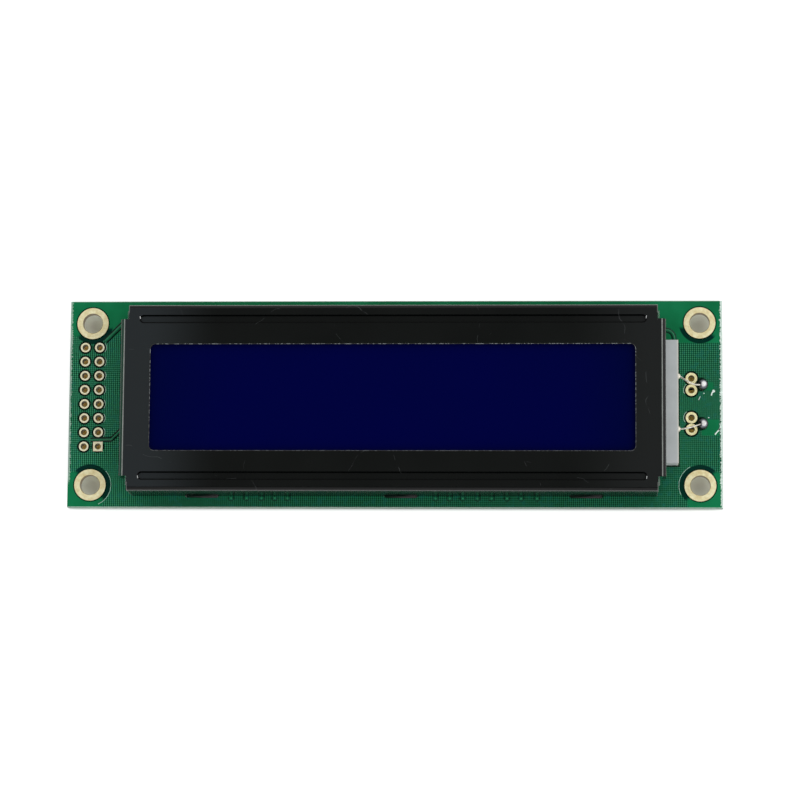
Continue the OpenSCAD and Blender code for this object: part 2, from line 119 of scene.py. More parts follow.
# %% [markdown]
# ## Helpers for node trees
# A finish is a tree of nodes, and so is a Geometry Nodes piece. Blender's own calls take three
# lines for each node, so a few helpers shorten them. A socket knows the tree that it belongs to,
# so most helpers need only the sockets and numbers that they work on.

# %% Node helpers
def feed(socket, value):
    """Links an input to another node's output, or sets it to a value."""
    if isinstance(value, bpy.types.NodeSocket):
        socket.id_data.links.new(value, socket)
    else:
        socket.default_value = value


def add(tree, kind, inputs=None, **settings):
    """Adds a node, sets it up and feeds its inputs, which are named or numbered."""
    node = tree.nodes.new(kind)
    for name, value in settings.items():
        setattr(node, name, value)
    for name, value in (inputs or {}).items():
        feed(node.inputs[name], value)
    return node


def step(kind, inputs, **settings):
    """Adds a node to the tree that its linked inputs belong to."""
    tree = next(v.id_data for v in inputs.values() if isinstance(v, bpy.types.NodeSocket))
    return add(tree, kind, inputs, **settings)


def calc(operation, *values, clamp=False):
    """One step of arithmetic on numbers."""
    inputs = dict(enumerate(values))
    return step("ShaderNodeMath", inputs, operation=operation, use_clamp=clamp).outputs[0]


def times(first, second):
    """The product of two numbers."""
    return calc("MULTIPLY", first, second)


def minus(first, second):
    """The difference of two numbers."""
    return calc("SUBTRACT", first, second)


def over(value, limit):
    """1 where the value is above the limit, and 0 elsewhere."""
    return calc("GREATER_THAN", value, limit)


def under(value, limit):
    """1 where the value is below the limit, and 0 elsewhere."""
    return calc("LESS_THAN", value, limit)


def vector_calc(operation, *values):
    """One step of arithmetic on vectors."""
    node = step("ShaderNodeVectorMath", dict(enumerate(values)), operation=operation)
    return node.outputs["Value" if operation == "LENGTH" else "Vector"]


def split(vector):
    """The three parts of a vector."""
    return step("ShaderNodeSeparateXYZ", {0: vector}).outputs


def join(x, y, z=0.0):
    """A vector from three parts."""
    return step("ShaderNodeCombineXYZ", {0: x, 1: y, 2: z}).outputs[0]


def hue(code):
    """A colour code such as #0f7c47 as the linear colour that Blender's sockets take."""
    parts = [int(code[k:k + 2], 16) / 255 for k in (1, 3, 5)]
    return [p / 12.92 if p <= 0.04045 else ((p + 0.055) / 1.055) ** 2.4 for p in parts] + [1.0]


def blend(share, first, second):
    """A colour between two colours, each a socket, a list or a colour code."""
    first, second = (hue(tint) if isinstance(tint, str) else tint for tint in (first, second))
    return step("ShaderNodeMix", {0: share, 6: first, 7: second}, data_type="RGBA").outputs[2]


def between(share, first, second):
    """A number between two numbers."""
    return step("ShaderNodeMix", {0: share, 2: first, 3: second}, data_type="FLOAT").outputs[0]


def fade(value, start, end, low=0.0, high=1.0):
    """Goes smoothly from low to high while the value goes from start to end."""
    inputs = {0: value, 1: start, 2: end, 3: low, 4: high}
    return step("ShaderNodeMapRange", inputs, interpolation_type="SMOOTHSTEP").outputs[0]


print("a mid grey is", round(hue("#808080")[0], 3), "in linear light")

# %% [markdown]
# ## Effects that several finishes share
# Grain, scratches, discs, rectangles and the hatch come back in many finishes. Each is a node
# group with named inputs and outputs, built once. A group gives out only masks and values. The
# shader itself stays in each material, where the exporter can read its sockets.

# %% A helper that starts a group
def start_group(name, inputs, outputs):
    """A new shader group. Returns it with its inputs as outputs to link from, and its end node."""
    group = bpy.data.node_groups.new(name, "ShaderNodeTree")
    for label, start in inputs.items():
        kind = "NodeSocketVector" if isinstance(start, tuple) else "NodeSocketFloat"
        group.interface.new_socket(label, in_out="INPUT", socket_type=kind).default_value = start
    for label in outputs:
        group.interface.new_socket(label, in_out="OUTPUT", socket_type="NodeSocketFloat")
    return group, add(group, "NodeGroupInput").outputs, add(group, "NodeGroupOutput").inputs


def use(group, inputs):
    """Places a group and returns its outputs."""
    return step("ShaderNodeGroup", inputs, node_tree=group).outputs


# %% Grain: soft uneven spots, for moulded plastic, lacquer and plating
grain, given, ends = start_group(
    "grain", {"Position": (0, 0, 0), "Size": 1.0, "Contrast": 1.0}, ["Value"])
scaled = vector_calc("DIVIDE", given["Position"], join(given["Size"], given["Size"],
                                                       given["Size"]))
noise = add(grain, "ShaderNodeTexNoise", {"Vector": scaled, "Scale": 1.0, "Detail": 3.0})
centred = minus(noise.outputs[0], 0.5)
feed(ends["Value"], calc("MULTIPLY_ADD", centred, given["Contrast"], 0.5, clamp=True))


def spots(place, size, contrast):
    """Value of the grain at a place, with spots of a size in millimetres."""
    return use(grain, {"Position": place, "Size": size, "Contrast": contrast})["Value"]


# %% Hairlines: long thin scratches that break up along their way
hairlines, given, ends = start_group(
    "hairlines", {"Position": (0, 0, 0), "Turn": 0.0, "Spacing": 4.0, "Width": 0.03}, ["Mask"])
turned = add(hairlines, "ShaderNodeVectorRotate",
             {"Vector": given["Position"], "Angle": given["Turn"]}, rotation_type="Z_AXIS")
wander = add(hairlines, "ShaderNodeTexNoise",
             {"Vector": turned.outputs[0], "Scale": 0.12, "Detail": 2.0})
x, y, z = split(turned.outputs[0])
bent = calc("MULTIPLY_ADD", wander.outputs[0], 9.0, y)
across = calc("ABSOLUTE", calc("WRAP", bent, times(given["Spacing"], 0.5),
                               times(given["Spacing"], -0.5)))
line = under(across, given["Width"])
stretched = add(hairlines, "ShaderNodeTexNoise",
                {"Vector": vector_calc("MULTIPLY", turned.outputs[0], (0.35, 0.11, 0.2)),
                 "Scale": 1.0, "Detail": 1.0})
feed(ends["Mask"], times(line, fade(stretched.outputs[0], 0.56, 0.62)))

# %% Disc: a round shape on the board, seen from above
round_shape, given, ends = start_group(
    "round_shape", {"Position": (0, 0, 0), "Centre": (0, 0, 0), "Radius": 1.0, "Blur": 0.04},
    ["Mask"])
flat = vector_calc("MULTIPLY", vector_calc("SUBTRACT", given["Position"], given["Centre"]),
                   (1, 1, 0))
reach = vector_calc("LENGTH", flat)
feed(ends["Mask"], fade(reach, minus(given["Radius"], given["Blur"]),
                        calc("ADD", given["Radius"], given["Blur"]), 1.0, 0.0))

# %% Rectangle: a block of copper or a zone on the board, seen from above
block_shape, given, ends = start_group(
    "block_shape", {"Position": (0, 0, 0), "Low": (0, 0, 0), "High": (1, 1, 0), "Blur": 0.05},
    ["Mask"])
middle = vector_calc("MULTIPLY", vector_calc("ADD", given["Low"], given["High"]), (0.5,) * 3)
half = vector_calc("SUBTRACT", given["High"], middle)
past = vector_calc("SUBTRACT", vector_calc("ABSOLUTE", vector_calc("SUBTRACT", given["Position"],
                                                                   middle)), half)
x, y, z = split(past)
feed(ends["Mask"], fade(calc("MAXIMUM", x, y), times(given["Blur"], -1.0), given["Blur"], 1.0,
                        0.0))

# %% Hatch: the grid of fine lines that fills a ground area
LINE_BLUR = 0.06
hatch, given, ends = start_group(
    "hatch", {"Position": (0, 0, 0), "Pitch": 0.35, "Share": 0.5, "Cross": 0.6},
    ["Mask", "Crossings"])
lines = []
for part in list(split(given["Position"]))[:2]:
    place = calc("PINGPONG", calc("DIVIDE", part, given["Pitch"]), 0.5)
    limit = times(given["Share"], 0.5)
    lines.append(fade(place, minus(limit, LINE_BLUR), calc("ADD", limit, LINE_BLUR), 1.0, 0.0))
crossing = times(lines[1], given["Cross"])
feed(ends["Mask"], calc("MAXIMUM", lines[0], crossing))
feed(ends["Crossings"], times(lines[0], lines[1]))

print("groups:", ", ".join(group.name for group in bpy.data.node_groups))

# %% [markdown]
# ## A start for each finish
# Each finish begins with the same three things: a material, its Principled shader with the
# values that are the same all over, and the position in millimetres on the piece. The position
# comes from Object coordinates, because each piece keeps its place in its mesh.

# %% Start a finish
def paint(shader, **values):
    """Feeds inputs of the shader, such as Base_Color and Roughness."""
    for label, value in values.items():
        feed(shader.inputs[label.replace("_", " ")], value)


def start_finish(name, **values):
    """A new material. Returns it, its shader and the position in millimetres."""
    material = bpy.data.materials.new(name)
    material.use_nodes = True
    shader = material.node_tree.nodes["Principled BSDF"]
    paint(shader, **values)
    where = add(material.node_tree, "ShaderNodeTexCoord").outputs["Object"]
    return material, shader, vector_calc("MULTIPLY", where, (1 / MM,) * 3)


def raise_surface(shader, height, depth_mm):
    """Feeds a height, from 0 to 1, to the shader as a bump that is depth_mm deep."""
    bump = step("ShaderNodeBump", {"Height": height, "Distance": depth_mm * MM})
    feed(shader.inputs["Normal"], bump.outputs[0])


def dress(finish, *names):
    """Gives a finish to CAD pieces."""
    for name in names:
        nodes[name].data.materials.clear()
        nodes[name].data.materials.append(finish)
    print(finish.name, "on", ", ".join(names))


# %% [markdown]
# ## The board
# The board is glass cloth and resin under a thin green lacquer. Copper under the lacquer looks
# lighter, and where there is none the board looks almost black-green. Most of the copper is a
# ground area drawn as a fine grid, with a bare gap round each pad. The grid is far too fine to
# model, so it is a pattern on the surface. It is built from a few flat shapes, each repeated by
# folding the position, because four equal corners or sixteen equal pads need only one shape.

# %% Bare gaps round the pads
PAD_GAP, RING_GAP, TERMINAL_GAP, WIDE_GAP = 0.32, 0.2, 0.25, 0.88
TERMINAL_SHIFT = 0.3        # the gap round a terminal lies this much nearer to the housing
LAMP_END = 21.8             # length along Y of the lamp end, and of the painted shadow strip round it
corner_x, corner_y = corner_holes["spacing_x_mm"] / 2, corner_holes["spacing_y_mm"] / 2


def folded(part, centre=0.0):
    """Distance from a middle line, so that both sides share one shape."""
    return calc("ABSOLUTE", minus(part, centre))


def either(*masks):
    """The union of masks."""
    found = masks[0]
    for mask in masks[1:]:
        found = calc("MAXIMUM", found, mask)
    return found


def in_block(spot, low, high, blur=0.05):
    """Mask of a rectangle that two corners give."""
    return use(block_shape, {"Position": spot, "Low": (*low, 0), "High": (*high, 0),
                             "Blur": blur})["Mask"]


def in_disc(spot, centre, radius, blur=0.04):
    """Mask of a disc."""
    return use(round_shape, {"Position": spot, "Centre": (*centre, 0), "Radius": radius,
                             "Blur": blur})["Mask"]


def from_ring(spot):
    """Position from the centre of the nearest corner ring."""
    x, y, z = split(spot)
    return join(minus(folded(x), corner_x), minus(folded(y), corner_y))


def from_pin(spot):
    """Position from the centre of the nearest interface pad."""
    x, y, z = split(spot)
    row = calc("WRAP", minus(y, pin_rows[0]), row_pitch / 2, -row_pitch / 2)
    column = minus(folded(x, interface_middle.x), interface_sizes["spacing_x_mm"] / 2)
    return join(column, row)


def from_spare(spot):
    """Position from the centre of the nearest spare pad."""
    x, y, z = split(spot)
    pair = folded(folded(y), spare_middle.y)
    return join(minus(x, spare_middle.x), minus(pair, spare_sizes["spacing_y_mm"] / 2))


def pad_gaps(spot):
    """Mask of the bare gaps round the small pads, and round each ring on its inner side."""
    x, y, z = split(spot)
    rings = in_disc(from_ring(spot), (0, 0), ring_radius + RING_GAP, 0.1)
    pins = in_disc(from_pin(spot), (0, 0), pad_radius + PAD_GAP, 0.08)
    in_rows = under(folded(y, interface_middle.y), (row_span + row_pitch) / 2)
    spares = in_disc(from_spare(spot), (0, 0), spare_radius + PAD_GAP, 0.08)
    terminals = in_disc(join(x, folded(y)), (terminal_x - TERMINAL_SHIFT, spare_middle.y),
                        terminal_radius + TERMINAL_GAP, 0.12)
    return either(rings, times(pins, in_rows), spares, terminals)


def wide_gaps(spot):
    """Mask of the wide dark gap that each corner ring has towards the middle of the board."""
    x, y, z = split(spot)
    out_x, out_y = folded(x), folded(y)
    disc = in_disc(join(out_x, out_y), (corner_x, corner_y), ring_radius + WIDE_GAP, 0.1)
    outward = minus(calc("ADD", out_x, out_y), corner_x + corner_y)
    inner = times(disc, fade(outward, -0.4, 0.8, 1.0, 0.0))
    return times(inner, fade(y, corner_y - 1.2, corner_y - 0.5, 1.0, 0.0))


# %% Solid copper, and the pale margin where the lacquer stops
def solid_zones(spot):
    """Mask of the copper that isn't drawn as a grid: corners, top strip and terminal lands."""
    x, y, z = split(spot)
    corner = join(folded(x), folded(y))
    corners = in_disc(corner, (corner_x + 2.2, corner_y + 2.2), 4.6, 0.25)
    strip = in_block(spot, (board_low.x, corner_y - 0.4), (board_high.x, board_high.y))
    left_top = in_disc(spot, (-corner_x + 2.6, corner_y + 0.2), 2.9, 0.3)
    land_low = in_block(spot, (terminal_x - 0.2, -spare_middle.y - 2.1),
                        (board_high.x - 0.75, -spare_middle.y + 0.75), 0.08)
    land_high = in_block(spot, (terminal_x, spare_middle.y - 1.1),
                         (board_high.x - 1.6, spare_middle.y + 0.4), 0.2)
    right_top = in_block(spot, (bezel_high.x, LAMP_END / 2), (board_high.x, corner_y), 0.2)
    return either(corners, strip, left_top, right_top, land_low, land_high)


def bare_margin(spot):
    """Mask of the pale rim, broad and ragged at the right-hand end and thin elsewhere."""
    x, y, z = split(spot)
    ragged = spots(spot, 0.3, 2.4)
    wave = times(minus(ragged, 0.5), 0.4)
    right_side = fade(calc("ADD", x, wave), board_high.x - 0.46, board_high.x - 0.34)
    left_side = fade(calc("ADD", x, wave), board_low.x + 0.3, board_low.x + 0.42, 0.45, 0.0)
    from_corner = fade(y, -corner_y, -corner_y + 1.2)
    left_side = times(left_side, from_corner)
    low_side = fade(y, board_low.y + 0.08, board_low.y + 0.16, 0.75, 0.0)
    high_side = fade(y, board_high.y - 0.14, board_high.y - 0.06, 0.0, 0.7)
    return either(right_side, left_side, low_side, high_side)


# %% The green finish of the board, with its pale cut edges
GRID_PITCH, GRID_SHARE = 0.354, 0.42
SHADE_FROM, SHADE_TO = -48.0, -42.0       # where the grid is painted darker as shade, from the left end in along the bezel
GLINT_FROM, GLINT_TO = 46.0, 49.0           # where the painted highlights on its crossings grow stronger at the right
SHADOW_MARGIN = 0.3                          # the painted shadow reaches this far past the lamp end
RIM_DEPTH = 0.05                            # how near to the outline a wall is a cut edge


def board_finish():
    """Green lacquer over the grid and the solid copper, with bare gaps, cut edges, painted shade
    and painted highlights.
    """
    finish, shader, spot = start_finish("green_solder_mask", IOR=1.5)
    x, y, z = split(spot)
    hatched = use(hatch, {"Position": spot, "Pitch": GRID_PITCH, "Share": GRID_SHARE})
    grid = hatched["Mask"]
    cloudy = spots(spot, 7.0, 2.0)
    mottled = spots(spot, 0.7, 2.6)
    weave = spots(spot, 0.25, 1.6)
    cell = blend(mottled, "#00261a", "#003c2a")
    line = blend(cloudy, "#0f7648", "#1e8a5f")
    # painted shade: the copper lines turn darker from the left end inwards, along the bezel
    line = blend(fade(x, SHADE_FROM, SHADE_TO, 0.0, 0.6), line, "#08623f")
    field = blend(grid, cell, line)
    # painted highlights: the crossings of the grid are paler, most towards both ends of the board
    crossing_glint_share = between(fade(x, GLINT_FROM, GLINT_TO), fade(x, -52.0, -40.0, 0.5, 0.16), 0.32)
    crossing_glints = times(hatched["Crossings"], crossing_glint_share)
    field = blend(crossing_glints, field, "#5fb890")
    bluish = times(fade(mottled, 0.6, 0.85), 0.3)
    field = blend(bluish, field, "#12645e")
    land = blend(cloudy, "#00663a", "#128152")
    lacquer = blend(solid_zones(spot), field, land)
    gap = blend(cloudy, "#00301d", "#012a2c")
    wide, narrow = wide_gaps(spot), pad_gaps(spot)
    lacquer = blend(wide, lacquer, gap)
    lacquer = blend(narrow, lacquer, "#021c11")
    paint(shader, Specular_IOR_Level=between(either(wide, narrow), 0.26, 0.08))
    front = fade(z, board_top - 0.4, board_top - 0.2, 0.0, 0.8)
    # painted shadow: a dark strip on the board round and just past the lamp end
    lamp_end_shadow = in_block(spot, (bezel_high.x, -LAMP_END / 2 - 0.35),
                         (housing_high.x + SHADOW_MARGIN, LAMP_END / 2), 0.1)
    lacquer = blend(times(lamp_end_shadow, front), lacquer, "#04180f")
    pale = blend(weave, "#b2d2c3", "#effbf5")
    lacquer = blend(bare_margin(spot), lacquer, pale)
    normal = add(finish.node_tree, "ShaderNodeNewGeometry").outputs["Normal"]
    wall = under(calc("ABSOLUTE", split(normal)[2]), 0.5)
    rim = either(over(folded(x), board_high.x - RIM_DEPTH),
                 over(folded(y), board_high.y - RIM_DEPTH))
    layers = spots(vector_calc("MULTIPLY", spot, (0.3, 0.3, 6.0)), 1.0, 1.5)
    cut = blend(layers, "#62776a", "#879a8c")
    laminate = blend(rim, blend(layers, "#2a2616", "#4a4530"), cut)
    paint(shader, Base_Color=blend(wall, lacquer, laminate), Roughness=between(wall, 0.24, 0.7))
    ridges = either(grid, solid_zones(spot))
    raise_surface(shader, calc("MULTIPLY_ADD", weave, 0.15, ridges), 0.012)
    return finish


dress(board_finish(), "circuit_board")

# %% [markdown]
# ## Plating, solder and wire
# The pads are copper with a thin matt gold layer, and light falls into them as into fine satin.
# Solder is a smooth bright metal that wets its pad. The leads and the ends of the chip parts are
# tinned, which is the same metal a little duller.

# %% Metals
BORE_MARGIN = 0.05


def metal_finish(name, dark, light, grain_size, roughness, metallic, depth=0.01, bore=None):
    """A metal whose colour and gloss vary softly. A bore has a painted shade colour, a centre and
    a radius.
    """
    finish, shader, spot = start_finish(name, Metallic=metallic)
    patches = spots(spot, grain_size, 2.0)
    fine = spots(spot, grain_size / 6, 2.0)
    colour = blend(patches, dark, light)
    if bore:
        # painted shade: the inside of the hole is coloured dark brown
        bore_shade_code, from_centre, radius = bore
        bore_shade = blend(fine, bore_shade_code, "#8a7434")
        inside = in_disc(from_centre(spot), (0, 0), radius + BORE_MARGIN)
        colour = blend(inside, colour, bore_shade)
    paint(shader, Base_Color=colour, Roughness=between(fine, roughness * 0.75, roughness * 1.25))
    raise_surface(shader, fine, depth)
    return finish


# places of the painted highlight and of the painted dark reflection on each solder dome
HIGHLIGHT_SHIFT, HIGHLIGHT_RADIUS = 0.12, 0.44
DARK_SIDE_SHIFT, DARK_SIDE_RADIUS = -0.85, 0.62


def solder_finish():
    """Solder with a painted highlight on its cap, a dark glossy foot, and a painted dark
    reflection where the lead runs in.
    """
    finish, shader, spot = start_finish("bright_solder")
    x, y, z = split(spot)
    patches = spots(spot, 0.6, 2.0)
    both = join(x, folded(y))
    # painted reflection: dark on the side where the lead runs in; painted highlight: a pale rough
    # disc on the cap
    dark_side_reflection = in_disc(both, (terminal_x + DARK_SIDE_SHIFT, spare_middle.y), DARK_SIDE_RADIUS, 0.2)
    solder_highlight = in_disc(both, (terminal_x + HIGHLIGHT_SHIFT, spare_middle.y), HIGHLIGHT_RADIUS, 0.16)
    foot = blend(patches, "#4c4d58", "#8c8e96")
    bright = blend(solder_highlight, foot, blend(patches, "#d6d4d2", "#ffffff"))
    paint(shader, Base_Color=blend(dark_side_reflection, bright, "#15151f"), Metallic=between(solder_highlight, 0.9, 0.1),
          Roughness=between(solder_highlight, 0.2, 0.5))
    raise_surface(shader, patches, 0.02)
    return finish


ring_gold = metal_finish("pale_gold_plating", "#e2cf94", "#fffad0", 0.7, 0.45, 0.15, 0.015,
                         ("#5a4a22", from_ring, corner_holes["hole_r_mm"]))
pad_gold = metal_finish("bright_pad_plating", "#f4eabc", "#fffbe0", 0.5, 0.45, 0.15, 0.012,
                        ("#2c1e0c", from_pin, interface_sizes["hole_r_mm"]))
spare_gold = metal_finish("spare_pad_plating", "#efe3a2", "#fff8cc", 0.5, 0.45, 0.15, 0.012,
                          ("#2a240c", from_spare, spare_sizes["hole_r_mm"]))
dress(ring_gold, "mounting_rings")
dress(pad_gold, "interface_pads", "pin_one_pad")
dress(spare_gold, "spare_lamp_pads", "terminal_pads")
dress(metal_finish("contact_gold", "#c9ad58", "#dcc373", 0.8, 0.3, 0.9), "upper_contacts",
      "lower_contacts")
dress(solder_finish(), "terminal_solder")
dress(metal_finish("root_solder", "#cfc9b8", "#ece8da", 0.5, 0.35, 0.5), "lead_beads")
dress(metal_finish("tinned_wire", "#8d887c", "#e6e2d8", 0.45, 0.22, 0.85), "upper_lead",
      "lower_lead")
dress(metal_finish("tinned_ends", "#b9bbbb", "#d9dada", 0.4, 0.32, 0.9), "resistor_ends",
      "capacitor_ends")

# %% [markdown]
# ## The black bezel
# The bezel is steel sheet under a thin black coat with a soft gloss. Handling leaves hairlines and
# a few bright specks. Highlight lines are painted in bare steel colour along the short folds and
# at the notches. Sheen is painted towards the ends of the face, shade near its long edges and on
# its folded faces, and a green reflection of the board on the left fold. The places of these lines
# are measured from the box of the piece. The cut edge of the window has a strip of its own further
# down.

# %% Black coated steel
FOLD_DEPTH = 0.66                       # from the outside of a short wall to the start of its fold
NOTCH_X, NOTCH_Y = 1.4, 2.55            # from the box of the bezel to the ends of its walls
FOLD_LINE, FOLD_SOFT = 0.05, 0.13       # half width of the painted highlight line, and where it has faded out
OUTER_LINE, OUTER_HEIGHT = 0.07, 1.6    # painted highlight strip high on the outside of the right wall
# where the coat is painted lighter as sheen towards its left and right ends
PAINTED_SHEEN_LEFT, PAINTED_SHEEN_RIGHT = (-44.0, -30.0), (30.0, 46.0)
EDGE_SHADE_SPAN = (1.9, 1.1)                  # the face is painted darker as shade over this stretch before its long edges
FLAT_NORMAL = 0.985                     # below this the sheet is folded or pressed, and painted darker as shade
fold_start = bezel_high.x - FOLD_DEPTH
long_wall_end = bezel_high.x - NOTCH_X
short_wall_end = bezel_high.y - NOTCH_Y


def scratches(spot):
    """Mask of fine scratches in three directions and of a few specks."""
    found = 0.0
    for turn, spacing in ((0.3, 17.0), (1.2, 23.0), (-0.7, 29.0)):
        mask = use(hairlines, {"Position": spot, "Turn": turn, "Spacing": spacing,
                               "Width": 0.03})["Mask"]
        found = calc("MAXIMUM", found, mask)
    dust = step("ShaderNodeTexVoronoi", {"Vector": spot, "Scale": 0.16})
    specks = times(under(dust.outputs["Distance"], 0.022),
                   over(split(dust.outputs["Color"])[0], 0.55))
    return calc("MAXIMUM", times(found, 0.1), times(specks, 0.4))


def fold_highlight_lines(spot):
    """Mask of the painted highlight lines in bare steel colour: the short folds and the notch
    edges.
    """
    x, y, z = split(spot)
    out_x, out_y = folded(x), folded(y)
    on_fold = fade(folded(out_x, fold_start), FOLD_LINE, FOLD_SOFT, 1.0, 0.0)
    on_fold = times(on_fold, under(out_y, short_wall_end))
    at_notch = times(over(out_x, long_wall_end - FOLD_SOFT), over(out_y, short_wall_end))
    outermost = times(over(x, bezel_high.x - OUTER_LINE), over(z, bezel_high.z - OUTER_HEIGHT))
    return either(on_fold, times(at_notch, 0.4), times(outermost, 0.28))


def bezel_finish():
    """Soft black coat with painted sheen and shade, and bare steel colour painted as highlights.
    """
    finish, shader, spot = start_finish("black_coated_steel", Specular_IOR_Level=0.22)
    x, y, z = split(spot)
    clouds = spots(spot, 14.0, 1.6)
    peel = spots(spot, 0.35, 1.5)
    coat = blend(clouds, "#0c0e0d", "#131514")
    # painted sheen: the coat is lighter towards both ends of the face
    coat = blend(fade(x, *PAINTED_SHEEN_LEFT, 1.0, 0.0), coat, "#272b2d")
    coat = blend(fade(x, *PAINTED_SHEEN_RIGHT, 0.0, 0.8), coat, "#212323")
    # painted shade: darker near the long edges and on every folded or pressed face
    edge_shade = fade(folded(y), bezel_high.y - EDGE_SHADE_SPAN[0], bezel_high.y - EDGE_SHADE_SPAN[1])
    coat = blend(edge_shade, coat, "#050606")
    normal = add(finish.node_tree, "ShaderNodeNewGeometry").outputs["Normal"]
    tilt_shade = under(split(normal)[2], FLAT_NORMAL)
    coat = blend(tilt_shade, coat, "#020303")
    # painted reflection: the outside of the left fold is tinted green, as if mirroring the board
    left_fold_reflection = times(under(x, -fold_start - 0.12), over(z, bezel_high.z - 0.5))
    coat = blend(left_fold_reflection, coat, "#0a3627")
    coat = blend(scratches(spot), coat, "#9ba0a2")
    steel = blend(spots(spot, 2.0, 1.0), "#858a86", "#abb0ab")
    # painted highlights: bare steel colour along the short folds, at the notches and high on the
    # right wall
    fold_highlight = fold_highlight_lines(spot)
    paint(shader, Base_Color=blend(fold_highlight, coat, steel), Metallic=times(fold_highlight, 0.3),
          Roughness=between(peel, 0.14, 0.2))
    raise_surface(shader, peel, 0.0015)
    return finish


dress(bezel_finish(), "bezel")

# %% [markdown]
# ## The display
# The polarising film is what shows in the window. Unlit, a blue display is a dark navy sheet
# with next to no reflection of its own, a little darker towards its ends. The glass plates and
# the film below it are covered, but get their own finish all the same.

# %% Film and glass
def film_finish():
    """Deep navy, darker towards both ends."""
    finish, shader, spot = start_finish("navy_display_film", Roughness=0.25,
                                        Specular_IOR_Level=0.03)
    x, y, z = split(spot)
    half = (film_high.x - film_low.x) / 2
    end = fade(folded(x, (film_high.x + film_low.x) / 2), half * 0.6, half)
    soft = spots(spot, 12.0, 1.2)
    share = calc("MULTIPLY_ADD", end, 0.7, times(soft, 0.3))
    paint(shader, Base_Color=blend(share, "#00023f", "#000535"))
    raise_surface(shader, spots(spot, 0.2, 1.0), 0.002)
    return finish


def clear_finish(name, tint, roughness, index):
    """Glass or acrylic, with faint streaks in its gloss."""
    finish, shader, spot = start_finish(name, Transmission_Weight=0.85, IOR=index)
    streaks = spots(spot, 6.0, 1.4)
    paint(shader, Base_Color=blend(streaks, tint, "#ffffff"),
          Roughness=between(streaks, roughness, roughness * 2))
    return finish


dress(film_finish(), "front_polarizer", "rear_polarizer")
dress(clear_finish("display_glass", "#d5e8e2", 0.03, 1.52), "front_glass", "rear_glass")
dress(clear_finish("light_guide_acrylic", "#eaf6f6", 0.06, 1.49), "light_guide")

# %% [markdown]
# ## Plastics, resins and ceramics
# These are all the same kind of finish: a colour that varies softly, a gloss that varies with it
# and a fine grain. One function makes them, and each piece gets its own colours and sizes.

# %% Moulded and cast finishes
def cast_finish(name, dark, light, grain_size, roughness, depth=0.008, **values):
    """A plastic, resin or ceramic with a soft grain."""
    finish, shader, spot = start_finish(name, **values)
    patches = spots(spot, grain_size, 1.8)
    fine = spots(spot, grain_size / 8, 1.5)
    paint(shader, Base_Color=blend(patches, dark, light),
          Roughness=between(fine, roughness * 0.85, roughness * 1.15))
    raise_surface(shader, fine, depth)
    return finish


def housing_finish():
    """White plastic, greyer than paper, with a painted highlight along its right-hand rim."""
    finish, shader, spot = start_finish("white_housing")
    x, y, z = split(spot)
    patches = spots(spot, 3.0, 1.8)
    fine = spots(spot, 0.3, 1.5)
    body = blend(patches, "#bcc2c2", "#c9cecf")
    # painted highlight: a cream strip along the right-hand rim
    rim = fade(x, housing_high.x - 0.3, housing_high.x - 0.12)
    paint(shader, Base_Color=blend(rim, body, "#dcdcd2"), Roughness=between(fine, 0.42, 0.58))
    raise_surface(shader, fine, 0.006)
    return finish


dress(housing_finish(), "backlight_housing")
dress(cast_finish("white_film", "#e2e4e0", "#eeefec", 2.0, 0.6), "diffuser_film",
      "reflector_film")
dress(cast_finish("cell_resin", "#b7b08a", "#cfc9a4", 1.0, 0.3), "cell_seal", "port_plug")
dress(cast_finish("striped_rubber", "#3c3d40", "#56585b", 0.4, 0.7), "upper_connector_strip",
      "lower_connector_strip")
dress(cast_finish("lamp_laminate", "#d6d2c2", "#e6e3d8", 1.0, 0.5), "lamp_board")
dress(cast_finish("lamp_resin", "#e0c45c", "#efdc8c", 0.8, 0.25), "lamps")
dress(cast_finish("black_cap_resin", "#0c0c0e", "#18191b", 2.2, 0.3, depth=0.05),
      "controller_cap", "driver_cap")
dress(cast_finish("resistor_glaze", "#101214", "#1c1f21", 0.6, 0.3), "resistor_bodies")
dress(cast_finish("capacitor_ceramic", "#9a7c50", "#ad9062", 0.8, 0.45), "capacitor_bodies")

# %% [markdown]
# ## Tracks under the mask
# A track is a flat ribbon of copper that follows a path of straight legs, and the lacquer runs
# over it. Geometry Nodes suit this well: a tree takes plain edges, turns them to curves, rounds
# their bends and sweeps a flat profile along them. The same tree lays the bare gap under each
# track, which is a wider and thinner ribbon in a darker finish.

# %% The ribbon tree
def start_tree(name, inputs):
    """A Geometry Nodes tree with named inputs and one geometry output."""
    tree = bpy.data.node_groups.new(name, "GeometryNodeTree")
    tree.interface.new_socket("Geometry", in_out="INPUT", socket_type="NodeSocketGeometry")
    for label, kind in inputs.items():
        tree.interface.new_socket(label, in_out="INPUT", socket_type=kind)
    tree.interface.new_socket("Geometry", in_out="OUTPUT", socket_type="NodeSocketGeometry")
    return tree, add(tree, "NodeGroupInput").outputs


def end_tree(tree, shape, material):
    """Realizes what the tree made, gives it its finish and puts it out."""
    solid = add(tree, "GeometryNodeRealizeInstances", {0: shape}).outputs[0]
    done = add(tree, "GeometryNodeSetMaterial", {0: solid, "Material": material}).outputs[0]
    feed(add(tree, "NodeGroupOutput").inputs[0], done)
    return tree


